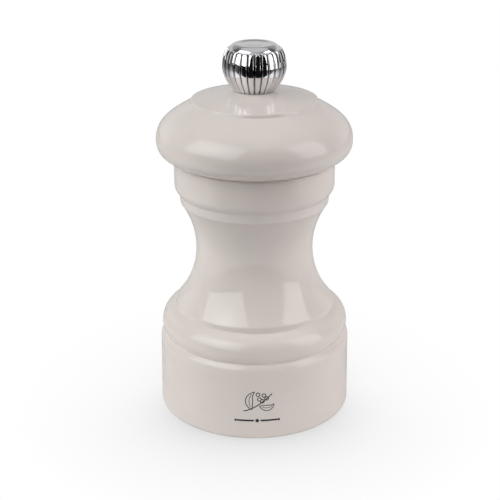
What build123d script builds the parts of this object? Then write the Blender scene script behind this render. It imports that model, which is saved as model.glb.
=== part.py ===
"""Table pepper mill: a turned wooden body and head, a fluted metal knob and a steel grinding mechanism.

Millimetres. +Z is up, and the origin is the middle of the ring that the mill stands on.
Every piece is a separate solid, written to parts/ under its own name.
"""
import os
from math import acos, asin, cos, degrees, hypot, radians, sin, sqrt

from build123d import *

os.makedirs("parts", exist_ok=True)

# ---------------------------------------------------------------- driving dimensions
MILL_HEIGHT = 100.0

# body, outside: radii and heights up the turning
FOOT_R = 26.15
FOOT_ROUND = 0.5
SHOULDER_R = 25.9
SHOULDER_Z = 18.85
SHOULDER_ROUND = 2.57
NOTCH_R = 24.63           # groove between the base and the bead
BEAD_ROUND = 4.77
BEAD_CENTRE_R = 20.6
LEDGE_R = 21.1            # upright step at the foot of the neck
LEDGE_Z = 29.9
LEDGE_ROUND = 0.45
WAIST_R = 15.73
WAIST_Z = 45.1
NECK_ARC = 23.4
NECK_TOP_Z = 57.6
CREASE_R = 20.0           # under the collar
CREASE_Z = 60.0
COLLAR_R = 21.24
COLLAR_LOW_Z = 63.2
RIM_Z = 69.8
RIM_ROUND = 0.6

# body, inside
MOUTH_R = 16.1
MOUTH_DEPTH = 5.6
HOPPER_R = 11.5
CAVITY_R = 14.45          # bore that the mechanism is pushed into
CAVITY_TOP = 21.0
RECESS_R = 20.5           # outlet recess under the base
RECESS_DEPTH = 5.0
EDGE = 0.5                # broken edges inside the wood

# head
SEAM = 0.2                # gap between the body's rim and the head
HEAD_Z = RIM_Z + SEAM
HEAD_UNDER_R = 21.4
HEAD_UNDER_SLOPE = 25.0   # degrees above level
HEAD_R = 25.74
HEAD_WIDE_Z = 75.3
HEAD_TOP_R = 16.63        # where the bun meets the disc on top
HEAD_TOP_Z = 84.75
HEAD_TOP_SLOPE = 31.0
DISC_R = 16.39
DISC_Z = 85.6
DISC_SLOPE = 13.5
SEAT_R = 5.6              # flat that the knob bears on
SEAT_Z = 87.85
SPIGOT_R = 15.85
SPIGOT_LENGTH = 5.3
POCKET_R = 12.3           # hollow under the head, above the hopper
POCKET_TOP = 72.0
HEAD_BORE_R = 3.7

# knob
KNOB_GAP = 0.1
KNOB_Z = SEAT_Z + KNOB_GAP
KNOB_FOOT_R = 5.3
KNOB_FOOT_SLOPE = 52.0
KNOB_R = 8.21
KNOB_WIDE_Z = 94.27
KNOB_RIM_R = 5.75
KNOB_RIM_SLOPE = 35.5
KNOB_RIM_DROP = 0.4
FLUTES = 28
FLUTE_WIDTH = 0.5
FLUTE_DEPTH = 0.4
DISH_R = 4.6
DISH_DEPTH = 0.3
BADGE_R = 2.6             # plain round boss in the dish
BADGE_HEIGHT = 0.12

# shaft and thread
SHAFT_SIDE = 5.0
SHAFT_CORNER = 0.8
SHAFT_TOP_Z = 95.0
THREAD_R = 2.5
THREAD_LENGTH = 14.0
THREAD_CLEARANCE = 0.05
TAIL_R = 1.9              # round end that the rotor nut grips
TAIL_LENGTH = 1.8
NUT_FLATS = 6.0
NUT_THICK = 1.5

# grinding set
ROTOR_LOW_Z = 5.4
ROTOR_WAIST_Z = 10.6
ROTOR_TOP_Z = 14.0
ROTOR_LOW_R = 9.0
ROTOR_WAIST_R = 6.2
ROTOR_TOP_R = 4.9
GRIND_GAP = 1.2           # level gap between rotor and stator at the coarsest setting
STATOR_TOP_Z = 18.0
STATOR_MOUTH_R = 12.4
STATOR_R = 13.7
STATOR_THROAT_Z = 11.2
FINE_TEETH = 24           # cut as grooves, so the ridges are what is left
COARSE_TEETH = 6
FINE_GROOVE = 0.8
COARSE_GROOVE = 2.0
GROOVE_DEPTH = 0.45
GROOVE_OVERRUN = 1.5      # cutter length over the length of the cone it crosses
FINE_SKEW = 22.0          # lean of the grooves around the cone
COARSE_SKEW = 35.0

# sheet metal and small hardware
HOUSING_R = 14.4
HOUSING_TOP = 20.0
FLANGE_R = 19.8
FLANGE_THICK = 0.8
OUTLET_R = 11.3
BRIDGE_WIDTH = 6.0
BRIDGE_EYE_R = 6.4        # round eye in the middle that holds the bush
BRIDGE_THICK = 1.0
BUSH_R = 4.2
BUSH_BORE_R = 3.26
BUSH_FLANGE_R = 5.8
BUSH_FLANGE_THICK = 0.9
WASHER_R = 5.2
WASHER_THICK = 0.6
RUNNING_GAP = 0.1
SQUARE_CLEARANCE = 0.05
SPRING_WIRE = 0.6
SPRING_R = 4.1
SPRING_TURNS = 3
SPRING_END_GAP = 0.08     # clear of each washer, because the wire's cut end is tilted
STRAP_WIDTH = 7.0
STRAP_THICK = 1.0
STRAP_DROP = 1.9
SCREW_AT = 17.2           # strap screws, out from the axis
SCREW_R = 1.25
SCREW_HEAD_R = 2.6
SCREW_HEAD_THICK = 1.0
SCREW_LENGTH = 9.5
SCREW_CLEARANCE = 0.2
SCREW_SLOT = 0.7
TACKS = 3
TACK_AT = 8.8
TACK_R = 0.7
TACK_HEAD_R = 1.7
TACK_HEAD_THICK = 0.5
TACK_LENGTH = 6.0
PLATE_R = 12.1
PLATE_THICK = 1.4
INSERT_R = 3.9
INSERT_LENGTH = 9.2
PILOT_CLEARANCE = 0.03


# ---------------------------------------------------------------- helpers
def on_slope(start, slope, reach):
    """The point that lies reach away from start, at slope degrees above the +r direction."""
    return (start[0] + reach * cos(radians(slope)), start[1] + reach * sin(radians(slope)))


def soft_curve(start, start_slope, end, end_slope, start_pull, end_pull):
    """A smooth curve between two points, leaving and arriving at the given slopes."""
    span = hypot(end[0] - start[0], end[1] - start[1])
    leave = on_slope(start, start_slope, start_pull * span)
    arrive = on_slope(end, end_slope + 180.0, end_pull * span)
    return Bezier(start, leave, arrive, end)


def save(piece, name):
    """Label a finished piece and write it."""
    piece.part.label = name
    export_step(piece.part, f"parts/{name}.step")


# ---------------------------------------------------------------- body
# Turned outside: foot, straight base, rounded shoulder, fat bead, waisted neck, collar.
shoulder_centre_r = SHOULDER_R - SHOULDER_ROUND
shoulder_turn = degrees(acos((NOTCH_R - shoulder_centre_r) / SHOULDER_ROUND))
notch_z = SHOULDER_Z + SHOULDER_ROUND * sin(radians(shoulder_turn))
bead_low = degrees(acos((NOTCH_R - BEAD_CENTRE_R) / BEAD_ROUND))
bead_centre_z = notch_z + BEAD_ROUND * sin(radians(bead_low))
bead_high = degrees(acos((LEDGE_R - BEAD_CENTRE_R) / BEAD_ROUND))
bead_top_z = bead_centre_z + BEAD_ROUND * sin(radians(bead_high))


def neck_r(z):
    """Radius of the neck's hollow arc at height z."""
    return WAIST_R + NECK_ARC - sqrt(NECK_ARC**2 - (z - WAIST_Z) ** 2)


def neck_z_below(r):
    """Height, below the waist, where the neck's arc has radius r."""
    return WAIST_Z - sqrt(NECK_ARC**2 - (WAIST_R + NECK_ARC - r) ** 2)


mouth_z = RIM_Z - MOUTH_DEPTH
neck_foot_r = LEDGE_R - LEDGE_ROUND
screw_holes = [(-SCREW_AT, 0), (SCREW_AT, 0)]

with BuildPart() as body_shell:
    with BuildSketch(Plane.XZ):
        with BuildLine():
            CenterArc((FOOT_R - FOOT_ROUND, FOOT_ROUND), FOOT_ROUND, -90, 90)
            Line((FOOT_R, FOOT_ROUND), (SHOULDER_R, SHOULDER_Z))
            CenterArc((shoulder_centre_r, SHOULDER_Z), SHOULDER_ROUND, 0, shoulder_turn)
            CenterArc((BEAD_CENTRE_R, bead_centre_z), BEAD_ROUND, -bead_low, bead_low + bead_high)
            Line((LEDGE_R, bead_top_z), (LEDGE_R, LEDGE_Z - LEDGE_ROUND))
            soft_curve((LEDGE_R, LEDGE_Z - LEDGE_ROUND), 90,
                       (neck_foot_r, neck_z_below(neck_foot_r)), 135, 0.4, 0.4)
            ThreePointArc((neck_foot_r, neck_z_below(neck_foot_r)), (WAIST_R, WAIST_Z),
                          (neck_r(NECK_TOP_Z), NECK_TOP_Z))
            Line((neck_r(NECK_TOP_Z), NECK_TOP_Z), (CREASE_R, CREASE_Z))
            soft_curve((CREASE_R, CREASE_Z), 48, (COLLAR_R, COLLAR_LOW_Z), 90, 0.4, 0.4)
            Line((COLLAR_R, COLLAR_LOW_Z), (COLLAR_R, RIM_Z - RIM_ROUND))
            CenterArc((COLLAR_R - RIM_ROUND, RIM_Z - RIM_ROUND), RIM_ROUND, 0, 90)
            Polyline((COLLAR_R - RIM_ROUND, RIM_Z), (MOUTH_R + EDGE, RIM_Z), (MOUTH_R, RIM_Z - EDGE),
                     (MOUTH_R, mouth_z), (HOPPER_R + EDGE, mouth_z), (HOPPER_R, mouth_z - EDGE),
                     (HOPPER_R, CAVITY_TOP), (CAVITY_R, CAVITY_TOP), (CAVITY_R, RECESS_DEPTH),
                     (RECESS_R, RECESS_DEPTH), (RECESS_R, EDGE), (RECESS_R + EDGE, 0),
                     (FOOT_R - FOOT_ROUND, 0))
        make_face()
    revolve(axis=Axis.Z)
    with BuildSketch(Plane.XY.offset(RECESS_DEPTH)):
        with Locations(*screw_holes):
            Circle(SCREW_R + PILOT_CLEARANCE)
    extrude(amount=SCREW_LENGTH, mode=Mode.SUBTRACT)
save(body_shell, "body_shell")


# ---------------------------------------------------------------- head
plate_z = POCKET_TOP - PLATE_THICK
spigot_z = HEAD_Z - SPIGOT_LENGTH
square_hole = SHAFT_SIDE + 2 * SQUARE_CLEARANCE

with BuildPart() as head_shell:
    with BuildSketch(Plane.XZ):
        with BuildLine():
            soft_curve((HEAD_UNDER_R, HEAD_Z), HEAD_UNDER_SLOPE, (HEAD_R, HEAD_WIDE_Z), 90, 0.5, 0.43)
            soft_curve((HEAD_R, HEAD_WIDE_Z), 90,
                       (HEAD_TOP_R, HEAD_TOP_Z), 180 - HEAD_TOP_SLOPE, 0.38, 0.39)
            soft_curve((HEAD_TOP_R, HEAD_TOP_Z), 95, (DISC_R, DISC_Z), 120, 0.4, 0.3)
            soft_curve((DISC_R, DISC_Z), 180 - DISC_SLOPE,
                       (SEAT_R, SEAT_Z), 180 - DISC_SLOPE / 2, 0.33, 0.33)
            Polyline((SEAT_R, SEAT_Z), (HEAD_BORE_R, SEAT_Z), (HEAD_BORE_R, POCKET_TOP),
                     (POCKET_R, POCKET_TOP), (POCKET_R, spigot_z + EDGE), (POCKET_R + EDGE, spigot_z),
                     (SPIGOT_R - EDGE, spigot_z), (SPIGOT_R, spigot_z + EDGE), (SPIGOT_R, HEAD_Z),
                     (HEAD_UNDER_R, HEAD_Z))
        make_face()
    revolve(axis=Axis.Z)
    with BuildSketch(Plane.XY.offset(POCKET_TOP)):
        with PolarLocations(TACK_AT, TACKS):
            Circle(TACK_R + PILOT_CLEARANCE)
    extrude(amount=TACK_LENGTH, mode=Mode.SUBTRACT)
save(head_shell, "head_shell")

with BuildPart() as drive_plate:
    with BuildSketch(Plane.XY.offset(plate_z)):
        Circle(PLATE_R)
        Rectangle(square_hole, square_hole, mode=Mode.SUBTRACT)
        with PolarLocations(TACK_AT, TACKS):
            Circle(TACK_R + PILOT_CLEARANCE, mode=Mode.SUBTRACT)
    extrude(amount=PLATE_THICK)
save(drive_plate, "drive_plate")

# A tack is a low domed head under the plate, a round shank and a point.
tack_shank_top = plate_z + PLATE_THICK + TACK_LENGTH - 2 * TACK_R
for number, place in enumerate(PolarLocations(TACK_AT, TACKS), start=1):
    with BuildPart() as tack:
        with BuildSketch(Plane.XZ.offset(-place.position.Y)):
            with BuildLine():
                Polyline((place.position.X, plate_z - TACK_HEAD_THICK),
                         (place.position.X + TACK_HEAD_R * 0.6, plate_z - TACK_HEAD_THICK),
                         (place.position.X + TACK_HEAD_R, plate_z),
                         (place.position.X + TACK_R, plate_z),
                         (place.position.X + TACK_R, tack_shank_top),
                         (place.position.X, tack_shank_top + 2 * TACK_R),
                         close=True)
            make_face()
        revolve(axis=Axis((place.position.X, place.position.Y, 0), (0, 0, 1)))
    save(tack, f"drive_plate_tack_{number}")


# ---------------------------------------------------------------- knob
# A ball with narrow flutes that die out under a smooth rim, and a shallow dish on top.
knob_foot = (KNOB_FOOT_R, KNOB_Z)
knob_wide = (KNOB_R, KNOB_WIDE_Z)
knob_rim = (KNOB_RIM_R, MILL_HEIGHT - KNOB_RIM_DROP)
insert_top = KNOB_Z + INSERT_LENGTH
dish_z = MILL_HEIGHT - DISH_DEPTH

# One flute: a narrow slot whose floor rises out of the ball at the rim.
groove_foot = (KNOB_FOOT_R - FLUTE_DEPTH / 2, KNOB_Z - FLUTE_DEPTH)
groove_wide = (KNOB_R - FLUTE_DEPTH, KNOB_WIDE_Z)
groove_end = (KNOB_RIM_R + FLUTE_DEPTH / 2, MILL_HEIGHT - KNOB_RIM_DROP + FLUTE_DEPTH / 4)

with BuildPart() as flute_cutter:
    with BuildSketch(Plane.XZ):
        with BuildLine():
            soft_curve(groove_foot, KNOB_FOOT_SLOPE, groove_wide, 90, 0.4, 0.42)
            soft_curve(groove_wide, 90, groove_end, 180 - KNOB_RIM_SLOPE, 0.5, 0.5)
            Polyline(groove_end, (KNOB_R + 1, MILL_HEIGHT), (KNOB_R + 1, groove_foot[1]), groove_foot)
        make_face()
    extrude(amount=FLUTE_WIDTH / 2, both=True)

with BuildPart() as knob:
    with BuildSketch(Plane.XZ):
        with BuildLine():
            soft_curve(knob_foot, KNOB_FOOT_SLOPE, knob_wide, 90, 0.4, 0.42)
            soft_curve(knob_wide, 90, knob_rim, 180 - KNOB_RIM_SLOPE, 0.5, 0.5)
            soft_curve(knob_rim, 180 - KNOB_RIM_SLOPE, (DISH_R + EDGE, MILL_HEIGHT), 180, 0.4, 0.4)
            soft_curve((DISH_R + EDGE, MILL_HEIGHT), 180, (DISH_R - EDGE, dish_z), 180, 0.4, 0.4)
            Polyline((DISH_R - EDGE, dish_z), (BADGE_R, dish_z),
                     (BADGE_R - BADGE_HEIGHT, dish_z + BADGE_HEIGHT), (0, dish_z + BADGE_HEIGHT),
                     (0, insert_top), (INSERT_R + PILOT_CLEARANCE, insert_top),
                     (INSERT_R + PILOT_CLEARANCE, KNOB_Z), knob_foot)
        make_face()
    revolve(axis=Axis.Z)
    with PolarLocations(0, FLUTES):
        add(flute_cutter.part, mode=Mode.SUBTRACT)
save(knob, "knob")

with BuildPart() as knob_insert:
    with BuildSketch(Plane.XY.offset(KNOB_Z)):
        Circle(INSERT_R)
        Circle(THREAD_R + THREAD_CLEARANCE, mode=Mode.SUBTRACT)
    extrude(amount=INSERT_LENGTH)
    low_rings = knob_insert.edges().filter_by(GeomType.CIRCLE).group_by(Axis.Z)[0]
    chamfer(low_rings.sort_by(SortBy.RADIUS)[0], EDGE)
save(knob_insert, "knob_insert")


# ---------------------------------------------------------------- shaft and what it carries
# Square bar from the rotor to the head, turned round and threaded at the top.
thread_z = SHAFT_TOP_Z - THREAD_LENGTH

with BuildPart() as shaft:
    with BuildSketch(Plane.XY.offset(ROTOR_LOW_Z)):
        RectangleRounded(SHAFT_SIDE, SHAFT_SIDE, SHAFT_CORNER)
    extrude(amount=thread_z - ROTOR_LOW_Z)
    with BuildSketch(Plane.XY.offset(thread_z)):
        Circle(THREAD_R)
    extrude(amount=THREAD_LENGTH)
    with BuildSketch(Plane.XY.offset(ROTOR_LOW_Z)):
        Circle(TAIL_R)
    extrude(amount=-TAIL_LENGTH)
    chamfer(shaft.edges().filter_by(GeomType.CIRCLE).sort_by(Axis.Z)[-1], EDGE)
save(shaft, "shaft")

with BuildPart() as rotor_nut:
    with BuildSketch(Plane.XY.offset(ROTOR_LOW_Z - NUT_THICK)):
        RegularPolygon(NUT_FLATS / 2, 6, major_radius=False)
        Circle(TAIL_R + PILOT_CLEARANCE, mode=Mode.SUBTRACT)
    extrude(amount=NUT_THICK)
save(rotor_nut, "rotor_nut")


def cone_lean(low, high):
    """Lean from upright, in degrees, of the straight line between two (r, z) points."""
    return degrees(asin((high[0] - low[0]) / hypot(high[0] - low[0], high[1] - low[1])))


def cut_grooves(low, high, count, width, skew):
    """Cut skewed grooves into the open part, along the cone between two (r, z) points."""
    length = GROOVE_OVERRUN * hypot(high[0] - low[0], high[1] - low[1])
    lie = (skew, cone_lean(low, high), 0)
    with Locations((0, 0, (low[1] + high[1]) / 2)):
        with PolarLocations((low[0] + high[0]) / 2, count):
            Box(2 * GROOVE_DEPTH, width, length, rotation=lie, mode=Mode.SUBTRACT)


rotor_low = (ROTOR_LOW_R, ROTOR_LOW_Z)
rotor_waist = (ROTOR_WAIST_R, ROTOR_WAIST_Z)
rotor_top = (ROTOR_TOP_R, ROTOR_TOP_Z)

with BuildPart() as rotor:
    with BuildSketch(Plane.XZ):
        with BuildLine():
            Polyline((0, ROTOR_LOW_Z), rotor_low, rotor_waist, rotor_top, (0, ROTOR_TOP_Z), close=True)
        make_face()
    revolve(axis=Axis.Z)
    cut_grooves(rotor_low, rotor_waist, FINE_TEETH, FINE_GROOVE, FINE_SKEW)
    cut_grooves(rotor_waist, rotor_top, COARSE_TEETH, COARSE_GROOVE, COARSE_SKEW)
    with BuildSketch(Plane.XY.offset(ROTOR_LOW_Z)):
        Rectangle(SHAFT_SIDE + 2 * PILOT_CLEARANCE, SHAFT_SIDE + 2 * PILOT_CLEARANCE)
    extrude(amount=ROTOR_TOP_Z - ROTOR_LOW_Z, mode=Mode.SUBTRACT)
save(rotor, "rotor")


def square_washer(z):
    """A round washer with a square hole that slides on the shaft, its underside at z."""
    with BuildPart() as washer:
        with BuildSketch(Plane.XY.offset(z)):
            Circle(WASHER_R)
            Rectangle(square_hole, square_hole, mode=Mode.SUBTRACT)
        extrude(amount=WASHER_THICK)
    return washer


bush_low_z = HOUSING_TOP - WASHER_THICK / 2
thrust_z = bush_low_z - WASHER_THICK - RUNNING_GAP
save(square_washer(ROTOR_TOP_Z), "spring_seat")
save(square_washer(thrust_z), "thrust_washer")

spring_low_z = ROTOR_TOP_Z + WASHER_THICK + SPRING_WIRE / 2 + SPRING_END_GAP
spring_rise = thrust_z - SPRING_WIRE / 2 - SPRING_END_GAP - spring_low_z

with BuildPart() as spring:
    with BuildLine():
        coil = Helix(spring_rise / SPRING_TURNS, spring_rise, SPRING_R, center=(0, 0, spring_low_z))
    with BuildSketch(Plane(origin=coil @ 0, z_dir=coil % 0)):
        Circle(SPRING_WIRE / 2)
    sweep(is_frenet=True)
save(spring, "spring")


# ---------------------------------------------------------------- grinding ring and its holder
flange_z = RECESS_DEPTH - FLANGE_THICK
stator_low = (ROTOR_LOW_R + GRIND_GAP, RECESS_DEPTH)
stator_waist = (ROTOR_WAIST_R + GRIND_GAP, ROTOR_WAIST_Z)
stator_throat = (ROTOR_WAIST_R + GRIND_GAP, STATOR_THROAT_Z)
stator_mouth = (STATOR_MOUTH_R, STATOR_TOP_Z)

with BuildPart() as stator:
    with BuildSketch(Plane.XZ):
        with BuildLine():
            Polyline(stator_low, (STATOR_R, RECESS_DEPTH), (STATOR_R, STATOR_TOP_Z),
                     stator_mouth, stator_throat, stator_waist, close=True)
        make_face()
    revolve(axis=Axis.Z)
    cut_grooves(stator_low, stator_waist, FINE_TEETH, FINE_GROOVE, -FINE_SKEW)
    cut_grooves(stator_throat, stator_mouth, 2 * COARSE_TEETH, COARSE_GROOVE, -COARSE_SKEW)
save(stator, "stator")

# Pressed steel sleeve with a flange that the strap holds against the recess floor.
with BuildPart() as mill_housing:
    with BuildSketch(Plane.XZ):
        with BuildLine():
            Polyline((OUTLET_R, flange_z), (FLANGE_R, flange_z), (FLANGE_R, RECESS_DEPTH),
                     (HOUSING_R, RECESS_DEPTH), (HOUSING_R, HOUSING_TOP), (STATOR_R, HOUSING_TOP),
                     (STATOR_R, RECESS_DEPTH), (OUTLET_R, RECESS_DEPTH), close=True)
        make_face()
    revolve(axis=Axis.Z)
    with BuildSketch(Plane.XY.offset(flange_z)):
        with Locations(*screw_holes):
            Circle(SCREW_R + SCREW_CLEARANCE)
    extrude(amount=FLANGE_THICK, mode=Mode.SUBTRACT)
save(mill_housing, "mill_housing")

with BuildPart() as upper_bridge:
    with BuildSketch(Plane.XY.offset(HOUSING_TOP)):
        Circle(HOUSING_R)
        Rectangle(2 * HOUSING_R, BRIDGE_WIDTH, mode=Mode.INTERSECT)
        Circle(BRIDGE_EYE_R)
        Circle(BUSH_R + PILOT_CLEARANCE, mode=Mode.SUBTRACT)
    extrude(amount=BRIDGE_THICK)
save(upper_bridge, "upper_bridge")

bridge_top = HOUSING_TOP + BRIDGE_THICK
bush_top_z = bridge_top + BUSH_FLANGE_THICK

with BuildPart() as guide_bush:
    with BuildSketch(Plane.XZ):
        with BuildLine():
            Polyline((BUSH_BORE_R, bush_low_z), (BUSH_R, bush_low_z), (BUSH_R, bridge_top),
                     (BUSH_FLANGE_R, bridge_top), (BUSH_FLANGE_R - BUSH_FLANGE_THICK / 2, bush_top_z),
                     (BUSH_BORE_R, bush_top_z), close=True)
        make_face()
    revolve(axis=Axis.Z)
save(guide_bush, "guide_bush")


# ---------------------------------------------------------------- retaining strap and its screws
tab_z = flange_z - STRAP_THICK
tab_in = SCREW_AT - SCREW_HEAD_R - EDGE
leg_in = tab_in - STRAP_DROP

with BuildPart() as bottom_strap:
    with BuildSketch(Plane.XZ):
        with BuildLine():
            Polyline((-FLANGE_R, tab_z), (-tab_in, tab_z), (-leg_in, tab_z - STRAP_DROP),
                     (leg_in, tab_z - STRAP_DROP), (tab_in, tab_z), (FLANGE_R, tab_z),
                     (FLANGE_R, flange_z), (tab_in - STRAP_THICK / 2, flange_z),
                     (leg_in - STRAP_THICK / 2, flange_z - STRAP_DROP),
                     (-leg_in + STRAP_THICK / 2, flange_z - STRAP_DROP),
                     (-tab_in + STRAP_THICK / 2, flange_z), (-FLANGE_R, flange_z), close=True)
        make_face()
    extrude(amount=STRAP_WIDTH / 2, both=True)
    with BuildSketch(Plane.XY.offset(tab_z)):
        with Locations(*screw_holes):
            Circle(SCREW_R + SCREW_CLEARANCE)
    extrude(amount=STRAP_THICK, mode=Mode.SUBTRACT)
    corners = bottom_strap.edges().filter_by(Axis.Z).sort_by(lambda edge: -abs(edge.center().X))[:4]
    fillet(corners, STRAP_WIDTH * 0.4)
save(bottom_strap, "bottom_strap")

# A strap screw is a slotted pan head under the tab, a shank and a point.
for number, (x, y) in enumerate(screw_holes, start=1):
    with BuildPart() as screw:
        with BuildSketch(Plane.XZ):
            with BuildLine():
                Polyline((x, tab_z - SCREW_HEAD_THICK), (x + SCREW_HEAD_R * 0.8, tab_z - SCREW_HEAD_THICK),
                         (x + SCREW_HEAD_R, tab_z - SCREW_HEAD_THICK / 2), (x + SCREW_HEAD_R, tab_z),
                         (x + SCREW_R, tab_z), (x + SCREW_R, tab_z + SCREW_LENGTH - 2 * SCREW_R),
                         (x, tab_z + SCREW_LENGTH), close=True)
            make_face()
        revolve(axis=Axis((x, y, 0), (0, 0, 1)))
        with BuildSketch(Plane.XY.offset(tab_z - SCREW_HEAD_THICK)):
            with Locations((x, y)):
                Rectangle(2 * SCREW_HEAD_R, SCREW_SLOT)
        extrude(amount=SCREW_HEAD_THICK * 0.6, mode=Mode.SUBTRACT)
    save(screw, f"strap_screw_{number}")
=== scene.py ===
"""Looks of a table pepper mill: lacquered wood, a fluted chrome knob and the steel mechanism inside.

Shapes are written in millimetres and scaled to metres by MM. The mill stands on z = 0, its axis is z and its
front looks along -y. Hidden pieces keep the CAD mesh; what shows is rebuilt here with finer shape.
"""

from math import acos, ceil, cos, degrees, exp, hypot, pi, radians, sin, sqrt

import bpy
import numpy as np
from mathutils import Matrix, Vector


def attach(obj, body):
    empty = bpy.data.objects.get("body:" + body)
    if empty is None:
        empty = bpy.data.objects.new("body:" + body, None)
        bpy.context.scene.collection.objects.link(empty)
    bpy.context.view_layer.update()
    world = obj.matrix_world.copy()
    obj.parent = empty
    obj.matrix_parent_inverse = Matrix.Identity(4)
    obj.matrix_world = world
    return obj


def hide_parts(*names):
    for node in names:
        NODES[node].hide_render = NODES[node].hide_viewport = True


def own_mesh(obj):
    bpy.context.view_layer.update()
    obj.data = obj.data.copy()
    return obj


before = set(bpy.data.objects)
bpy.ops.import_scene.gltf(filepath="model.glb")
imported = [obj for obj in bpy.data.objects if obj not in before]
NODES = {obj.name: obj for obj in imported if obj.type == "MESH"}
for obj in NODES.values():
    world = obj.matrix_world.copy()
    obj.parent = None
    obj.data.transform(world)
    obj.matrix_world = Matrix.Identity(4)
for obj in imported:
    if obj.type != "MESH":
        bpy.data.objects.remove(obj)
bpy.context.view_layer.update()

MM = 0.001
SCENE = bpy.context.scene


# ---------------------------------------------------------------- outlines
# An outline is a list of (r, z) points, in millimetres, up the side of a turning.
def slope_point(start, slope, reach):
    """The point that lies reach away from start, at slope degrees above the +r direction."""
    return (start[0] + reach * cos(radians(slope)), start[1] + reach * sin(radians(slope)))


def arc(centre_r, centre_z, radius, start, end):
    """Points on an arc between two angles in degrees."""
    count = max(3, ceil(abs(end - start) / 3) + 1)
    angles = [radians(start + (end - start) * i / (count - 1)) for i in range(count)]
    return [(centre_r + radius * cos(a), centre_z + radius * sin(a)) for a in angles]


def soft_curve(start, start_slope, end, end_slope, start_pull, end_pull, count=40):
    """Points on a smooth curve that leaves and arrives at the given slopes."""
    span = hypot(end[0] - start[0], end[1] - start[1])
    leave = slope_point(start, start_slope, start_pull * span)
    arrive = slope_point(end, end_slope + 180, end_pull * span)
    t = np.linspace(0, 1, count)[:, None]
    points = ((1 - t) ** 3 * start + 3 * (1 - t) ** 2 * t * leave
              + 3 * (1 - t) * t * t * arrive + t ** 3 * end)
    return [tuple(p) for p in points]


def evenly(points, step):
    """The same line with a point at every step along it."""
    points = np.array(points, float)
    gaps = np.hypot(*np.diff(points, axis=0).T)
    points = points[np.r_[True, gaps > 1e-6]]
    along = np.r_[0, np.cumsum(np.hypot(*np.diff(points, axis=0).T))]
    at = np.linspace(0, along[-1], max(2, ceil(along[-1] / step) + 1))
    return np.c_[np.interp(at, along, points[:, 0]), np.interp(at, along, points[:, 1])]


def coated(points, film, longest=0.6, turn=3.0):
    """An outline as paint leaves it: corners softened over about film millimetres, then thinned out."""
    step = film / 6
    fine = evenly(points, step)
    reach = 18
    weights = np.exp(-0.5 * (np.arange(-reach, reach + 1) * step / film) ** 2)
    weights /= weights.sum()
    padded = np.r_[2 * fine[0] - fine[reach:0:-1], fine, 2 * fine[-1] - fine[-2:-reach - 2:-1]]
    soft = np.c_[np.convolve(padded[:, 0], weights, "valid"), np.convolve(padded[:, 1], weights, "valid")]
    soft[0], soft[-1] = fine[0], fine[-1]
    heading = np.unwrap(np.arctan2(*np.diff(soft, axis=0).T[::-1]))
    kept, last = [tuple(soft[0])], 0
    for i in range(1, len(soft) - 1):
        if (abs(heading[i] - heading[last]) > radians(turn)
                or hypot(*(soft[i] - soft[last])) > longest):
            kept.append(tuple(soft[i]))
            last = i
    return kept + [tuple(soft[-1])]


# ---------------------------------------------------------------- meshes
def finished(name, vertices, faces, materials, body, slot, paint=None, sharp=32.0, replaces=()):
    """A smooth-shaded mesh in metres, riding on a CAD body. paint gives each face's material."""
    mesh = bpy.data.meshes.new(name)
    mesh.from_pydata([(x * MM, y * MM, z * MM) for x, y, z in vertices], [], faces)
    mesh.validate()
    mesh.polygons.foreach_set("use_smooth", [True] * len(mesh.polygons))
    mesh.set_sharp_from_angle(angle=radians(sharp))
    for material in materials:
        mesh.materials.append(material)
    if paint is not None:
        mesh.polygons.foreach_set("material_index", paint)
    piece = bpy.data.objects.new(name, mesh)
    SCENE.collection.objects.link(piece)
    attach(piece, body)
    if replaces:
        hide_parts(*replaces)
    return piece


def ring_faces(rows, columns, closed):
    """Quads between neighbouring rows of a grid that closes on itself round the axis."""
    pairs = [(i, (i + 1) % rows) for i in range(rows if closed else rows - 1)]
    return [(a * columns + j, a * columns + (j + 1) % columns,
             b * columns + (j + 1) % columns, b * columns + j) for a, b in pairs for j in range(columns)]


def lathe(name, outline, materials, body, slot, segments=224, paint=None, **more):
    """A closed outline turned round the axis. paint gives the material of each step along the outline."""
    vertices = [(r * cos(2 * pi * j / segments), r * sin(2 * pi * j / segments), z)
                for r, z in outline for j in range(segments)]
    faces = ring_faces(len(outline), segments, True)
    painted = None if paint is None else [m for m in paint for _ in range(segments)]
    return finished(name, vertices, faces, materials, body, slot, painted, **more)


# ---------------------------------------------------------------- materials
class Graph:
    """Short calls for building a node tree."""

    def __init__(self, tree):
        self.tree = tree

    def set(self, node, sockets):
        """Puts a value or a link on each named or numbered socket."""
        for key, value in sockets.items():
            if isinstance(value, bpy.types.NodeSocket):
                self.tree.links.new(value, node.inputs[key])
            else:
                node.inputs[key].default_value = value

    def node(self, kind, sockets=(), output=0, **settings):
        made = self.tree.nodes.new("ShaderNode" + kind)
        for key, value in settings.items():
            setattr(made, key, value)
        self.set(made, dict(sockets))
        return made.outputs[output]

    def span(self, value, low, high, to_low=0.0, to_high=1.0):
        return self.node("MapRange", {"Value": value, "From Min": low, "From Max": high,
                                      "To Min": to_low, "To Max": to_high}, interpolation_type="SMOOTHSTEP")

    def maths(self, operation, a, b=0.0):
        return self.node("Math", {0: a, 1: b}, operation=operation)

    def output(self, kind, shader):
        self.tree.links.new(shader, self.tree.nodes.new("ShaderNodeOutput" + kind).inputs["Surface"])


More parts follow.
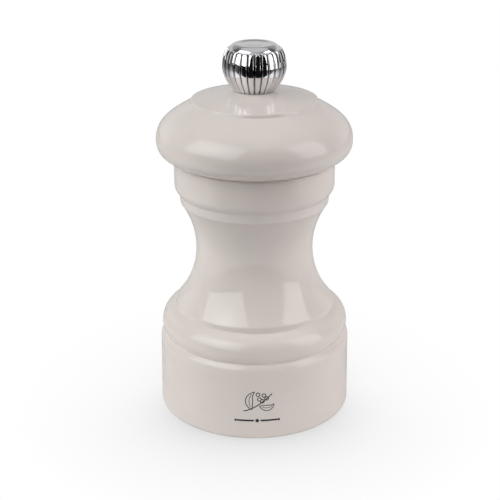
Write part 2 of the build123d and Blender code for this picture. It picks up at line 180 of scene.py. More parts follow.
class Finish(Graph):
    """A material under construction, with the textures that the finishes share."""

    def __init__(self, name, **sockets):
        self.material = bpy.data.materials.new(name)
        self.material.use_nodes = True
        super().__init__(self.material.node_tree)
        self.surface = self.tree.nodes["Principled BSDF"]
        self.set(self.surface, {key.replace("_", " "): value for key, value in sockets.items()})
        self.place = self.node("TexCoord", output="Object")
        self.relief = None

    def stretched(self, per_mm):
        """The place on the object times a frequency per millimetre along x, y and z."""
        scale = per_mm if isinstance(per_mm, tuple) else (per_mm,) * 3
        return self.node("Mapping", {"Vector": self.place, "Scale": [s / MM for s in scale]})

    def noise(self, per_mm, detail=3.0, roughness=0.5):
        return self.node("TexNoise", {"Vector": self.stretched(per_mm), "Scale": 1.0, "Detail": detail,
                                      "Roughness": roughness})

    def specks(self, per_mm):
        """Distance from the nearest of some scattered points, in cells."""
        return self.node("TexVoronoi", {"Vector": self.stretched(per_mm), "Scale": 1.0})

    def blend(self, share, a, b):
        """A colour between a and b."""
        return self.node("Mix", {0: share, 6: a, 7: b}, output=2, data_type="RGBA")

    def bump(self, height, depth_mm):
        sockets = {"Height": height, "Distance": depth_mm * MM, "Strength": 1.0}
        if self.relief is not None:
            sockets["Normal"] = self.relief
        self.relief = self.node("Bump", sockets)

    def done(self, colour, roughness):
        self.set(self.surface, {"Base Color": colour, "Roughness": roughness})
        if self.relief is not None:
            self.set(self.surface, {"Normal": self.relief})
        return self.material


def shade(colour, factor=1.0):
    return (*(c * factor for c in colour), 1.0)


LACQUER = (0.80, 0.732, 0.686)


def lacquer():
    """Sprayed stone-white lacquer: a glossy film with faint orange peel, mottling and a few nibs."""
    f = Finish("stone_white_lacquer", IOR=1.5)
    mottle = f.blend(f.span(f.noise(0.09), 0.3, 0.7), shade(LACQUER, 0.985), shade(LACQUER, 1.015))
    f.bump(f.noise(0.35, detail=2.0), 0.010)
    f.bump(f.span(f.specks(0.11), 0.0, 0.05, 1.0, 0.0), 0.03)
    return f.done(mottle, f.span(f.noise(0.5), 0.3, 0.7, 0.035, 0.065))


def raw_beech():
    """Bare turned beech inside the bores: upright grain, short dark flecks and tool rings."""
    f = Finish("bare_beech", IOR=1.45)
    grain = f.noise((1.2, 1.2, 0.05), detail=6.0, roughness=0.6)
    wood = f.blend(f.span(grain, 0.3, 0.7), shade((0.56, 0.37, 0.22)), shade((0.68, 0.48, 0.31)))
    fleck = f.span(f.specks((1.6, 1.6, 0.35)), 0.12, 0.25, 1.0, 0.0)
    wood = f.blend(f.maths("MULTIPLY", fleck, 0.35), wood, shade((0.30, 0.17, 0.09)))
    f.bump(grain, 0.05)
    f.bump(f.noise((0.05, 0.05, 3.0)), 0.03)
    return f.done(wood, f.span(grain, 0.3, 0.7, 0.55, 0.75))


def metal(name, colour, rough_low, rough_high, grain_per_mm, grain_depth, mottle=0.06, painted_flute_shade=None):
    """Bare or plated metal: a fine grain in relief, cloudy shade and gloss, and small scuffs.
    A second colour paints shade onto it where the mesh says that it lies deep, standing in for the shade in
    hollows."""
    f = Finish(name, Metallic=1.0)
    cloud = f.noise(0.25)
    tone = f.blend(f.span(cloud, 0.3, 0.7), shade(colour, 1 - mottle), shade(colour, 1 + mottle))
    scuff = f.span(f.noise((0.7, 6.0, 2.0), detail=4.0), 0.62, 0.72)
    f.bump(f.noise(grain_per_mm, detail=4.0), grain_depth)
    rough = f.span(cloud, 0.25, 0.75, rough_low, rough_high)
    # Painted shade: blends towards a dark colour where the mesh attribute says a point lies deep in a flute.
    if painted_flute_shade is not None:
        deep = f.node("Attribute", output="Fac", attribute_name="painted_flute_shade")
        tone = f.blend(f.span(deep, 0.1, 0.9), tone, shade(painted_flute_shade))
    return f.done(tone, f.maths("ADD", rough, f.maths("MULTIPLY", scuff, 0.06)))


def ink():
    """Black print that is a little patchy in shade and gloss."""
    f = Finish("black_print", IOR=1.5)
    patch = f.noise(2.0)
    return f.done(f.blend(patch, shade((0.012, 0.012, 0.013)), shade((0.03, 0.03, 0.032))),
                  f.span(patch, 0.3, 0.7, 0.25, 0.4))


LACQUERED = lacquer()
BEECH = raw_beech()
# The dark colour given to the chrome is painted shade for the knob's flutes.
CHROME = metal("polished_chrome", (0.80, 0.80, 0.82), 0.025, 0.05, 0.9, 0.0006, mottle=0.01,
               painted_flute_shade=(0.10, 0.095, 0.095))
BRASS = metal("turned_brass", (0.80, 0.60, 0.30), 0.18, 0.30, (0.2, 0.2, 9.0), 0.01)
BRIGHT_STEEL = metal("drawn_steel", (0.62, 0.61, 0.59), 0.22, 0.34, (6.0, 6.0, 0.15), 0.01)
HARD_STEEL = metal("hardened_steel", (0.33, 0.33, 0.34), 0.30, 0.45, 2.5, 0.02)
PLATED_STEEL = metal("zinc_plated_steel", (0.66, 0.67, 0.68), 0.25, 0.40, 1.2, 0.008)
SPRING_STEEL = metal("spring_steel", (0.42, 0.41, 0.40), 0.25, 0.38, 3.0, 0.006)
INK = ink()

CAD_FINISH = {
    "drive_plate": PLATED_STEEL, "drive_plate_tack_1": BRIGHT_STEEL, "drive_plate_tack_2": BRIGHT_STEEL,
    "drive_plate_tack_3": BRIGHT_STEEL, "knob_insert": BRASS, "guide_bush": BRASS,
    "rotor": HARD_STEEL, "stator": HARD_STEEL, "rotor_nut": PLATED_STEEL, "spring_seat": BRIGHT_STEEL,
    "thrust_washer": BRIGHT_STEEL, "mill_housing": PLATED_STEEL, "upper_bridge": PLATED_STEEL,
    "bottom_strap": PLATED_STEEL, "strap_screw_1": PLATED_STEEL, "strap_screw_2": PLATED_STEEL,
}
WEAR, WORN_CORNER = 0.08, 35.0    # width of the worn edges, and the least turn of an edge that wears
for node_name, finish in CAD_FINISH.items():
    NODES[node_name].data.materials.clear()
    NODES[node_name].data.materials.append(finish)
    worn = NODES[node_name].modifiers.new("worn edges", "BEVEL")
    worn.width, worn.segments = WEAR * MM, 2
    worn.limit_method, worn.angle_limit = "ANGLE", radians(WORN_CORNER)
    worn.use_clamp_overlap = True
    worn.harden_normals = True


# ---------------------------------------------------------------- body
FOOT_R, FOOT_ROUND = 26.15, 0.5
SHOULDER_R, SHOULDER_Z, SHOULDER_ROUND = 25.9, 18.85, 2.57
NOTCH_R = 24.63
BEAD_ROUND, BEAD_CENTRE_R = 4.77, 20.6
LEDGE_R, LEDGE_Z, LEDGE_OUT_R, LEDGE_RISE = 21.4, 29.4, 22.2, 0.35
NECK_FOOT_R = 21.2
WAIST_R, WAIST_Z, NECK_ARC = 15.73, 45.1, 23.4
NECK_TOP_Z = 58.2
CREASE = (20.0, 60.6)
COLLAR_R, COLLAR_LOW_Z = 21.24, 63.2
RIM_Z, RIM_ROUND = 69.8, 0.6
LEDGE_RISER = 0.15         # the riser above the bead stands this far out from the ledge
BODY_FILM, HEAD_FILM = 0.17, 0.12    # how far the paint softens corners

shoulder_centre_r = SHOULDER_R - SHOULDER_ROUND
shoulder_turn = degrees(acos((NOTCH_R - shoulder_centre_r) / SHOULDER_ROUND))
notch_z = SHOULDER_Z + SHOULDER_ROUND * sin(radians(shoulder_turn))
bead_low = degrees(acos((NOTCH_R - BEAD_CENTRE_R) / BEAD_ROUND))
bead_centre_z = notch_z + BEAD_ROUND * sin(radians(bead_low))
bead_high = degrees(acos((LEDGE_OUT_R - BEAD_CENTRE_R) / BEAD_ROUND))
bead_top_z = bead_centre_z + BEAD_ROUND * sin(radians(bead_high))
neck_centre_r = WAIST_R + NECK_ARC
neck_foot_z = WAIST_Z - sqrt(NECK_ARC**2 - (neck_centre_r - NECK_FOOT_R) ** 2)
neck_low = 180 + degrees(acos((neck_centre_r - NECK_FOOT_R) / NECK_ARC))
neck_high = 180 - degrees(acos(sqrt(NECK_ARC**2 - (NECK_TOP_Z - WAIST_Z) ** 2) / NECK_ARC))

body_outside = coated(
    arc(FOOT_R - FOOT_ROUND, FOOT_ROUND, FOOT_ROUND, -90, 0)
    + [(SHOULDER_R, SHOULDER_Z)]
    + arc(shoulder_centre_r, SHOULDER_Z, SHOULDER_ROUND, 0, shoulder_turn)
    + arc(BEAD_CENTRE_R, bead_centre_z, BEAD_ROUND, -bead_low, bead_high)
    + [(LEDGE_R + LEDGE_RISER, bead_top_z + LEDGE_RISE)]
    + soft_curve((LEDGE_R, LEDGE_Z), 100, (NECK_FOOT_R, neck_foot_z), 130, 0.4, 0.4)
    + arc(neck_centre_r, WAIST_Z, NECK_ARC, neck_low, neck_high)
    + [CREASE]
    + soft_curve(CREASE, 48, (COLLAR_R, COLLAR_LOW_Z), 90, 0.4, 0.4)
    + [(COLLAR_R, RIM_Z - RIM_ROUND)]
    + arc(COLLAR_R - RIM_ROUND, RIM_Z - RIM_ROUND, RIM_ROUND, 0, 90), BODY_FILM)

EDGE = 0.5
MOUTH_R, MOUTH_Z = 16.1, 64.2
HOPPER_R = 11.5
CAVITY_R, CAVITY_TOP = 14.45, 21.0
RECESS_R, RECESS_Z = 20.5, 5.0
body_inside = (
    [(MOUTH_R + EDGE, RIM_Z)] + arc(MOUTH_R + EDGE, RIM_Z - EDGE, EDGE, 95, 180)
    + arc(MOUTH_R - EDGE, MOUTH_Z + EDGE, EDGE, 0, -90)
    + arc(HOPPER_R + EDGE, MOUTH_Z - EDGE, EDGE, 90, 180)
    + [(HOPPER_R, 45.0), (HOPPER_R, CAVITY_TOP), (CAVITY_R, CAVITY_TOP), (CAVITY_R, RECESS_Z),
       (RECESS_R, RECESS_Z)]
    + arc(RECESS_R + EDGE, EDGE, EDGE, 180, 270))

painted_steps = len(body_outside)
bare_steps = len(body_inside)
lathe("body_wood", body_outside + body_inside, [LACQUERED, BEECH], "mill_body", "lacquered_wood",
      paint=[0] * painted_steps + [1] * bare_steps, replaces=["body_shell"])


# ---------------------------------------------------------------- head
HEAD_Z, HEAD_UNDER_R, HEAD_UNDER_SLOPE = 70.0, 21.4, 25.0
HEAD_WIDE = (25.74, 75.3)
HEAD_TOP, HEAD_TOP_SLOPE = (16.63, 84.75), 31.0
DISC, DISC_SLOPE = (16.39, 85.6), 13.5
SEAT = (5.6, 87.85)
HEAD_BORE_R, BORE_ROUND = 3.7, 0.3
POCKET_R, POCKET_TOP = 12.3, 72.0
SPIGOT_R, SPIGOT_Z = 15.85, 64.7

head_outside = coated(
    soft_curve((HEAD_UNDER_R, HEAD_Z), HEAD_UNDER_SLOPE, HEAD_WIDE, 90, 0.5, 0.43)
    + soft_curve(HEAD_WIDE, 90, HEAD_TOP, 180 - HEAD_TOP_SLOPE, 0.38, 0.39)
    + soft_curve(HEAD_TOP, 95, DISC, 120, 0.4, 0.3)
    + soft_curve(DISC, 180 - DISC_SLOPE, SEAT, 180 - DISC_SLOPE / 2, 0.33, 0.33)
    + [(HEAD_BORE_R + BORE_ROUND, SEAT[1])], HEAD_FILM)
head_inside = (
    arc(HEAD_BORE_R + BORE_ROUND, SEAT[1] - BORE_ROUND, BORE_ROUND, 90, 180)
    + [(HEAD_BORE_R, 80.0), (HEAD_BORE_R, POCKET_TOP), (POCKET_R, POCKET_TOP)]
    + arc(POCKET_R + EDGE, SPIGOT_Z + EDGE, EDGE, 180, 270)
    + arc(SPIGOT_R - EDGE, SPIGOT_Z + EDGE, EDGE, 270, 360)
    + [(SPIGOT_R, HEAD_Z - 2), (SPIGOT_R, HEAD_Z)])
lathe("head_wood", head_outside + head_inside, [LACQUERED, BEECH], "head", "lacquered_wood",
      paint=[0] * len(head_outside) + [1] * (len(head_inside) - 1) + [0], replaces=["head_shell"])


# ---------------------------------------------------------------- knob
FLUTES = 28
FLUTE_DEPTH = 0.45
FLUTE_HALF = 0.13, 0.29    # half the width of a flute at the foot and at the rim
KNOB_Z = 87.95
KNOB_FOOT, FOOT_SLOPE = (5.37, KNOB_Z), 51.7
KNOB_WIDE = (8.28, 94.3)
KNOB_SHOULDER, SHOULDER_SLOPE = (7.11, 98.54), 151.0
KNOB_RIM = (6.5, 98.9)
KNOB_TOP = 99.9
LIP = 0.22                 # smooth band between the flutes' ends and the rim
FLUTE_RUN_OUT = 0.4        # length over which a flute rises to nothing below the lip
LIP_GROOVE_DEPTH, LIP_GROOVE_HALF = 0.2, 0.16
LOBE_BULGE = 0.012         # how far the lobes between flutes swell
CREST_R = 4.85             # highest ring, around the dish
DISH_FLOOR_R, DISH_DEPTH = 3.3, 0.22
BADGE_R, BADGE_HEIGHT = 2.2, 0.05
BADGE_EDGE, BADGE_FLAT_R = 0.15, 0.8
INSERT_POCKET_R, INSERT_TOP = 3.95, 97.15

dish_z = KNOB_TOP - DISH_DEPTH
knob_side = evenly(soft_curve(KNOB_FOOT, FOOT_SLOPE, KNOB_WIDE, 90, 0.04, 0.477)
                   + soft_curve(KNOB_WIDE, 90, KNOB_SHOULDER, SHOULDER_SLOPE, 0.262, 0.174)
                   + soft_curve(KNOB_SHOULDER, SHOULDER_SLOPE, KNOB_RIM, 148, 0.33, 0.33), 0.16)
knob_crown = coated(soft_curve(KNOB_RIM, 140, (CREST_R, KNOB_TOP), 180, 0.35, 0.35)
                    + soft_curve((CREST_R, KNOB_TOP), 180, (DISH_FLOOR_R, dish_z), 184, 0.4, 0.4)
                    + [(BADGE_R + BADGE_EDGE, dish_z), (BADGE_R, dish_z + BADGE_HEIGHT),
                       (BADGE_FLAT_R, dish_z + BADGE_HEIGHT)], 0.06, longest=0.3)

# Places of the points across one flute, in millimetres from its middle.
ACROSS = [-0.36, -0.29, -0.24, -0.19, -0.13, -0.06, 0.0, 0.06, 0.13, 0.19, 0.24, 0.29, 0.36]
LOBE_POINTS = 6            # points shared out over the lobe between two flutes
shadow = []                # how deep each point of the knob lies in a flute, for the painted shade there


def flute_rows(r, z, heading, depth, bulge):
    """One row of the knob's side: the turned radius r, cut by narrow round-bottomed flutes."""
    half_pitch = pi * r / FLUTES
    squeeze = min(1.0, 0.75 * half_pitch / ACROSS[-1])
    offsets = [u * squeeze for u in ACROSS]
    lobe = np.linspace(offsets[-1], 2 * half_pitch - offsets[-1], LOBE_POINTS + 2)[1:-1]
    high = min(1.0, max(0.0, (z - KNOB_Z) / (KNOB_RIM[1] - KNOB_Z)))
    half = (FLUTE_HALF[0] + (FLUTE_HALF[1] - FLUTE_HALF[0]) * high) * squeeze
    row = []
    for k in range(FLUTES):
        for u in [*offsets, *lobe]:
            away = min(abs(u), abs(2 * half_pitch - u))
            cut = depth * exp(-((away / half) ** 4))
            # Painted shade, darker in deeper cuts and towards the rim.
            shadow.append(cut / FLUTE_DEPTH * (0.5 + 0.5 * high))
            swell = bulge * (away / half_pitch) ** 2 - bulge
            sink = cut - swell
            angle = 2 * pi * k / FLUTES + u / r
            radius = r - sink * sin(heading)
            row.append((radius * cos(angle), radius * sin(angle), z + sink * cos(heading)))
    return row


heights = np.r_[0, np.cumsum(np.hypot(*np.diff(knob_side, axis=0).T))]
side_length = heights[-1]
heading = np.gradient(knob_side[:, 1], heights), np.gradient(knob_side[:, 0], heights)
knob_vertices = []
for i, (r, z) in enumerate(knob_side):
    left = side_length - heights[i]
    fade = min(1.0, max(0.0, (left - LIP) / FLUTE_RUN_OUT))
    slope = np.arctan2(heading[0][i], heading[1][i])
    groove = LIP_GROOVE_DEPTH * exp(-(((left - LIP / 2) / LIP_GROOVE_HALF) ** 2))
    knob_vertices += flute_rows(r - groove * sin(slope), z + groove * cos(slope), slope,
                                FLUTE_DEPTH * sqrt(fade), LOBE_BULGE * fade)
columns = FLUTES * (len(ACROSS) + LOBE_POINTS)
outer_rows = len(knob_side)
for r, z in knob_crown[1:]:
    knob_vertices += flute_rows(r, z, pi / 2, 0.0, 0.0)
faces = ring_faces(outer_rows + len(knob_crown) - 1, columns, False)
crown_end = (outer_rows + len(knob_crown) - 2) * columns
top_centre = len(knob_vertices)
knob_vertices.append((0, 0, knob_crown[-1][1]))
shadow.append(0.0)
faces += [(crown_end + j, crown_end + (j + 1) % columns, top_centre) for j in range(columns)]
pocket_start = len(knob_vertices)
for z in (INSERT_TOP, KNOB_Z):
    knob_vertices += flute_rows(INSERT_POCKET_R, z, pi / 2, 0.0, 0.0)
pocket_centre = len(knob_vertices)
knob_vertices.append((0, 0, INSERT_TOP))
shadow.append(0.0)
faces += [(pocket_start + (j + 1) % columns, pocket_start + j, pocket_centre) for j in range(columns)]
faces += [(pocket_start + j, pocket_start + (j + 1) % columns,
           pocket_start + columns + (j + 1) % columns, pocket_start + columns + j) for j in range(columns)]
faces += [(pocket_start + columns + j, pocket_start + columns + (j + 1) % columns, (j + 1) % columns, j)
          for j in range(columns)]
knob = finished("knob_chrome_ball", knob_vertices, faces, [CHROME], "knob", "knob_chrome", sharp=40,
                replaces=["knob"])
# Keeps each point's depth in a flute on the mesh, read by the chrome as painted shade.
knob.data.attributes.new("painted_flute_shade", "FLOAT", "POINT").data.foreach_set("value", shadow)


# ---------------------------------------------------------------- printed mark on the base
MARK_AT = 0.6              # middle of the mark, right of the front
PRINT = 0.02               # how far the print stands proud


def on_base(u, v, lift):
    """A point u round to the right and v up the straight side of the base."""
    r = FOOT_R + (SHOULDER_R - FOOT_R) * (v - FOOT_ROUND) / (SHOULDER_Z - FOOT_ROUND) + lift
    angle = (u + MARK_AT) / r
    return (r * sin(angle), -r * cos(angle), v)


mark_vertices, mark_faces = [], []


def stroke(points, widths):
    """A printed line through points, widths[i] wide at each."""
    points = np.array(points, float)
    along = np.gradient(points, axis=0)
    along /= np.hypot(*along.T)[:, None]
    start = len(mark_vertices)
    for (u, v), (du, dv), w in zip(points, along, widths):
        for side, lift in ((-1, -PRINT), (-1, PRINT), (1, PRINT), (1, -PRINT)):
            mark_vertices.append(on_base(u - side * dv * w / 2, v + side * du * w / 2, lift))
    for i in range(len(points) - 1):
        a, b = start + 4 * i, start + 4 * i + 4
        mark_faces.extend((a + k, a + (k + 1) % 4, b + (k + 1) % 4, b + k) for k in range(4))
    last = start + 4 * (len(points) - 1)
    mark_faces.append((start + 3, start + 2, start + 1, start))
    mark_faces.append((last, last + 1, last + 2, last + 3))


def curve(start, bend, end, count=24):
    """Points on a simple bend from start to end."""
    t = np.linspace(0, 1, count)[:, None]
    return (1 - t) ** 2 * np.array(start) + 2 * (1 - t) * t * np.array(bend) + t * t * np.array(end)


def line(points, width):
    """A printed line of one width."""
    stroke(points, [width] * len(points))


def disc(u, v, radius, count=16):
    """A filled dot."""
    reach = np.cos(np.linspace(pi, 0, count)) * radius
    stroke([(u + x, v) for x in reach], [2 * sqrt(max(radius**2 - x * x, 1e-5)) for x in reach])


def ring(u, v, radius, width, count=33):
    """A printed circle."""
    angles = np.linspace(0, 2 * pi, count)
    line([(u + radius * cos(a), v + radius * sin(a)) for a in angles], width)


def leaf(start, bend, end, fullness):
    """A leaf drawn in outline with a midrib."""
    middle = curve(start, bend, end)
    t = np.linspace(0, 1, len(middle))
    along = np.gradient(middle, axis=0)
    along /= np.hypot(*along.T)[:, None]
    side = np.c_[-along[:, 1], along[:, 0]] * (fullness * np.sin(pi * t ** 0.8))[:, None]
    line(middle + side, 0.22)
    line(middle - side, 0.22)
    line(middle[3:-4], 0.15)


MARK_LOW, RULE_Z = 7.3, 5.4          # bottom of the sprig, and height of the rule under it
RULE_END, RULE_WIDTH, DOT_R = 5.4, 0.5, 0.34
line(curve((-3.6, MARK_LOW + 0.9), (-0.4, MARK_LOW + 1.5), (3.9, MARK_LOW + 5.9)), 0.28)
leaf((-1.4, MARK_LOW + 1.35), (-3.2, MARK_LOW + 4.6), (-0.7, MARK_LOW + 6.6), 0.95)
leaf((0.6, MARK_LOW + 2.35), (3.4, MARK_LOW + 1.0), (4.4, MARK_LOW + 2.9), 0.8)
for berry_u, berry_v in ((0.55, 4.1), (1.75, 5.2), (1.35, 3.55), (2.45, 4.35), (0.2, 5.5)):
    ring(berry_u, MARK_LOW + berry_v + 0.25, 0.5, 0.24)
for side in (-1, 1):
    line(curve((side * 0.9, RULE_Z), (side * 3, RULE_Z), (side * RULE_END, RULE_Z)), RULE_WIDTH)
    disc(side * (RULE_END + 0.35), RULE_Z, DOT_R)
stroke([(u, RULE_Z) for u in (-0.62, -0.3, 0, 0.3, 0.62)], [0.02, 0.66, 1.3, 0.66, 0.02])
finished("base_mark", mark_vertices, mark_faces, [INK], "mill_body", "lacquered_wood")


# ---------------------------------------------------------------- shaft, with its thread cut
SHAFT_HALF, SHAFT_CORNER = 2.5, 0.8
ROTOR_LOW_Z, TAIL_R, TAIL_LOW_Z = 5.4, 1.9, 3.6
THREAD_R, THREAD_LOW_Z, SHAFT_TOP_Z = 2.5, 81.0, 95.0
THREAD_PITCH, THREAD_DEPTH = 0.8, 0.46
SHAFT_COLUMNS = 64


def square_radius(angle):
    """How far the rounded square section reaches from the axis at an angle."""
    a = (angle + pi / 4) % (pi / 2) - pi / 4
    flat = SHAFT_HALF / cos(a)
    inner = SHAFT_HALF - SHAFT_CORNER
    if flat * abs(sin(a)) <= inner:
        return flat
    c = inner * (cos(a) + abs(sin(a)))
    return c + sqrt(c * c - 2 * inner**2 + SHAFT_CORNER**2)


def thread_radius(angle, z):
    """Radius of the cut thread, fading out at both ends."""
    phase = (z / THREAD_PITCH - angle / (2 * pi)) % 1
    tooth = min(1.0, max(0.0, (abs(2 * phase - 1) - 0.1) / 0.75))
    run_in = min(1.0, max(0.0, (z - THREAD_LOW_Z - 0.4) / THREAD_PITCH))
    chamfer = max(0.0, z - (SHAFT_TOP_Z - 0.5))
    return min(THREAD_R - THREAD_DEPTH * tooth * run_in, THREAD_R - chamfer)


shaft_rows = [[(TAIL_R - 0.25, TAIL_LOW_Z)] * SHAFT_COLUMNS, [(TAIL_R, TAIL_LOW_Z + 0.25)] * SHAFT_COLUMNS,
              [(TAIL_R, ROTOR_LOW_Z)] * SHAFT_COLUMNS]
angles = [2 * pi * j / SHAFT_COLUMNS for j in range(SHAFT_COLUMNS)]
for z in (ROTOR_LOW_Z, 30.0, 55.0, THREAD_LOW_Z - 0.45):
    shaft_rows.append([(square_radius(a), z) for a in angles])
shaft_rows.append([(min(square_radius(a), THREAD_R + 0.1), THREAD_LOW_Z) for a in angles])
for z in np.arange(THREAD_LOW_Z + 0.05, SHAFT_TOP_Z + 1e-6, 0.075):
    shaft_rows.append([(thread_radius(a, z), z) for a in angles])
shaft_vertices = [(r * cos(a), r * sin(a), z) for row in shaft_rows for a, (r, z) in zip(angles, row)]
shaft_faces = ring_faces(len(shaft_rows), SHAFT_COLUMNS, False)
shaft_faces.append(tuple(range(SHAFT_COLUMNS))[::-1])
shaft_faces.append(tuple(range(len(shaft_vertices) - SHAFT_COLUMNS, len(shaft_vertices))))
finished("shaft_bar", shaft_vertices, shaft_faces, [BRIGHT_STEEL], "spindle", "shaft_steel", sharp=28,
         replaces=["shaft"])


# ---------------------------------------------------------------- spring
WIRE_R, COIL_R, COILS = 0.3, 4.1, 3
COIL_LOW_Z, COIL_HIGH_Z = 14.98, 18.62
CLOSED_ENDS = 0.35         # how much closer the coils lie at the ends
coil_steps, wire_steps = 144, 14
spring_vertices = []
for i in range(coil_steps + 1):
    t = i / coil_steps
    angle = 2 * pi * COILS * t
    ease = t - sin(2 * pi * t) / (2 * pi) * CLOSED_ENDS
    centre_z = COIL_LOW_Z + (COIL_HIGH_Z - COIL_LOW_Z) * ease
    for k in range(wire_steps):
        b = 2 * pi * k / wire_steps
        r = COIL_R + WIRE_R * cos(b)
        spring_vertices.append((r * cos(angle), r * sin(angle), centre_z + WIRE_R * sin(b)))
spring_faces = ring_faces(coil_steps + 1, wire_steps, False)
spring_faces.append(tuple(range(wire_steps))[::-1])
spring_faces.append(tuple(range(len(spring_vertices) - wire_steps, len(spring_vertices))))
spring = finished("spring_coil", spring_vertices, spring_faces, [SPRING_STEEL], "turning_core",
                  "spring_steel", replaces=["spring"])
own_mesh(spring)


# ---------------------------------------------------------------- studio
SOFTBOX_DISTANCE, SOFTBOX_TILT, SOFTBOX_AIM_Z = 0.6, 20.0, 0.05


def softbox(name, azimuth, half_width, low, high, tint, radiance, hot, lights):
    """A flat rectangular lamp that faces the mill. Width and reach up its face are shares of its distance.
    It is hot times brighter in the middle than at its edges. It lights surfaces or, with lights False,
    only shows in reflections."""
    distance, tilt = SOFTBOX_DISTANCE, SOFTBOX_TILT
    out = Vector((sin(radians(azimuth)), -cos(radians(azimuth)), 0))
    up = Vector((0, 0, cos(radians(tilt)))) - out * sin(radians(tilt))
    back = out * cos(radians(tilt)) + Vector((0, 0, sin(radians(tilt))))
    light = bpy.data.lights.new(name, "AREA")
    light.shape = "RECTANGLE"
    light.size, light.size_y = 2 * half_width * distance, (high - low) * distance
    light.energy = radiance * pi * light.size * light.size_y
    light.use_nodes = True
    light.node_tree.nodes.clear()
    graph = Graph(light.node_tree)
    across = graph.node("NewGeometry", output="Parametric")
    away = graph.node("VectorMath", {0: across, 1: (0.5, 0.5, 0.0)}, output="Value", operation="DISTANCE")
    graph.output("Light", graph.node("Emission", {
        "Color": (*tint, 1.0), "Strength": graph.span(away, 0.0, 0.45, hot, 1.0)}))
    lamp = bpy.data.objects.new(name, light)
    lamp.matrix_world = Matrix((up.cross(back), up, back)).transposed().to_4x4()
    lamp.location = out * distance + Vector((0, 0, SOFTBOX_AIM_Z)) + up * distance * (low + high) / 2
    lamp.visible_camera = False
    lamp.visible_diffuse, lamp.visible_glossy = lights, not lights
    SCENE.collection.objects.link(lamp)


LEFT_LAMP = {"low": 0.16, "high": 1.15, "tint": (0.99, 1.0, 1.0), "radiance": 2.1, "hot": 1.8}
RIGHT_LAMP = {"low": -0.04, "high": 0.95, "tint": (1.01, 0.99, 0.995), "radiance": 2.0, "hot": 1.1}
# Each side has one lamp that lights surfaces, and one of another width that reflections show.
softbox("left_softbox", -65, 0.57, lights=True, **LEFT_LAMP)
softbox("right_softbox", 73, 0.52, lights=True, **RIGHT_LAMP)
softbox("left_window", -52, 0.56, lights=False, **LEFT_LAMP)
softbox("right_window", 69.5, 0.30, lights=False, **RIGHT_LAMP)

# The paper ends a little in front of the mill, so the room's dark front shows in the knob.
PAPER_FRONT, PAPER_SIDE, PAPER_BACK = -0.11, 1.5, 2.0
PAPER_WHITE = 0.85
HALO_REACH = 0.045         # how far the mill's soft shadow reaches over the paper that the camera sees
HALO_SIDE, HALO_FRONT = 0.22, 0.62
SHINE_FROM = 0.07, 0.11    # past this distance from the mill, reflections show the paper bright
SHINE_SIDE, DULL_SIDE = (0.12, 0.45), 0.35    # where it dulls again to the sides, and to what
SHINE_BACK, DULL_BACK = (-0.05, 0.10), 0.5    # the same towards the back
floor_mesh = bpy.data.meshes.new("floor")
floor_mesh.from_pydata([(-PAPER_SIDE, PAPER_FRONT, 0), (PAPER_SIDE, PAPER_FRONT, 0),
                        (PAPER_SIDE, PAPER_BACK, 0), (-PAPER_SIDE, PAPER_BACK, 0)], [], [(0, 1, 2, 3)])
floor = bpy.data.objects.new("floor", floor_mesh)
SCENE.collection.objects.link(floor)
paper = bpy.data.materials.new("white_paper")
paper.use_nodes = True
paper.node_tree.nodes.clear()
graph = Graph(paper.node_tree)
lit = graph.node("BsdfDiffuse", {"Color": (PAPER_WHITE, PAPER_WHITE, PAPER_WHITE, 1)})
outward = graph.tree.nodes.new("ShaderNodeSeparateXYZ")
graph.set(outward, {0: graph.node("VectorMath", {0: graph.node("NewGeometry", output="Position")},
                                  output="Vector", operation="NORMALIZE")})
depth = graph.span(outward.outputs["Y"], 0.2, -0.9, HALO_SIDE, HALO_FRONT)
covered = graph.maths("SUBTRACT", 1.0, graph.node("AmbientOcclusion", {"Distance": HALO_REACH}, output="AO"))
halo = graph.maths("MULTIPLY", covered, depth)
glow = graph.node("Emission", {"Strength": graph.maths("SUBTRACT", 1.0, halo)})
ray = graph.tree.nodes.new("ShaderNodeLightPath")
distance = graph.node("VectorMath", {0: graph.node("NewGeometry", output="Position")}, output="Value",
                      operation="LENGTH")
place = graph.tree.nodes.new("ShaderNodeSeparateXYZ")
graph.set(place, {0: graph.node("NewGeometry", output="Position")})
sideways = graph.span(graph.maths("ABSOLUTE", place.outputs["X"], 0.0), *SHINE_SIDE, 1.0, DULL_SIDE)
white = graph.maths("MULTIPLY", sideways, graph.span(place.outputs["Y"], *SHINE_BACK, 1.0, DULL_BACK))
shiny = graph.node("Emission", {"Strength": white})
mirrored = graph.maths("MULTIPLY", ray.outputs["Is Glossy Ray"], graph.span(distance, *SHINE_FROM))
surface = graph.node("MixShader", {0: mirrored, 1: lit, 2: shiny})
surface = graph.node("MixShader", {0: ray.outputs["Is Camera Ray"], 1: surface, 2: glow})
from_below = graph.node("NewGeometry", output="Backfacing")
graph.output("Material", graph.node("MixShader", {0: from_below, 1: surface,
                                                  2: graph.node("BsdfTransparent")}))
floor_mesh.materials.append(paper)

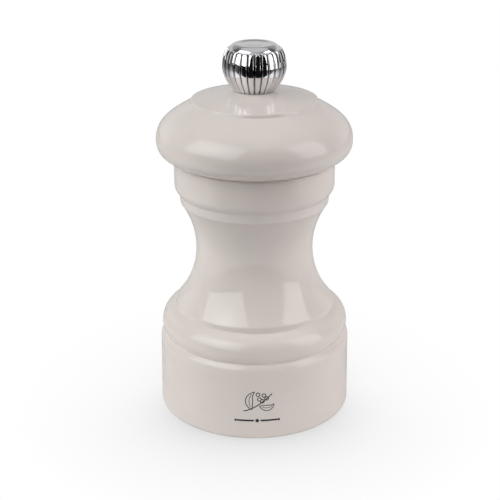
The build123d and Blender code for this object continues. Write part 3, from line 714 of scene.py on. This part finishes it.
ROOM_FRONT, ROOM_SIDE, ROOM_OVERHEAD, ROOM_BACK, ROOM_HORIZON = 0.006, 0.12, (0.15, 0.6), 0.36, 0.62
SIDE_GLOOM = 0.15          # how much further back the bright back wall starts in reflections
world = bpy.data.worlds.new("studio")
SCENE.world = world
world.use_nodes = True
world.node_tree.nodes.clear()
graph = Graph(world.node_tree)
way = graph.tree.nodes.new("ShaderNodeSeparateXYZ")
graph.set(way, {0: graph.node("TexCoord", output="Generated")})
ray = graph.tree.nodes.new("ShaderNodeLightPath")
ceiling = graph.node("Mix", {0: ray.outputs["Is Glossy Ray"], 2: ROOM_OVERHEAD[0], 3: ROOM_OVERHEAD[1]})
overhead = graph.maths("MULTIPLY", ceiling, graph.span(way.outputs["Z"], 0.7, 0.9))
wall = graph.span(way.outputs["Z"], 0.3, 0.5, ROOM_HORIZON, ROOM_BACK)
gloom = graph.maths("MULTIPLY", ray.outputs["Is Glossy Ray"], SIDE_GLOOM)
backward = graph.maths("SUBTRACT", way.outputs["Y"], gloom)
behind = graph.maths("MULTIPLY", graph.span(backward, 0.0, 0.5), wall)
around = graph.span(way.outputs["Y"], -0.72, -0.4, ROOM_FRONT, ROOM_SIDE)
room = graph.maths("MAXIMUM", graph.maths("MAXIMUM", overhead, behind), around)
brightness = graph.node("Mix", {0: ray.outputs["Is Camera Ray"], 2: room, 3: 1.0})
graph.output("World", graph.node("Background", {"Color": (1, 1, 1, 1), "Strength": brightness}))

# The photo's viewpoint: metres from the mill's foot, then degrees up from straight down, and of roll.
EYE_PLACE, EYE_RISE, EYE_ROLL, LENS = (-0.00121, -0.29737, 0.16309), 68.06, -0.12, 84.96
camera = bpy.data.cameras.new("camera")
camera.lens = LENS
camera.clip_start, camera.clip_end = 0.01, 10
eye = bpy.data.objects.new("camera", camera)
eye.matrix_world = (Matrix.Translation(EYE_PLACE) @ Matrix.Rotation(radians(EYE_RISE), 4, "X")
                    @ Matrix.Rotation(radians(EYE_ROLL), 4, "Z"))
SCENE.collection.objects.link(eye)
SCENE.camera = eye
SCENE.view_settings.view_transform = "Standard"
SCENE.view_settings.look = "None"
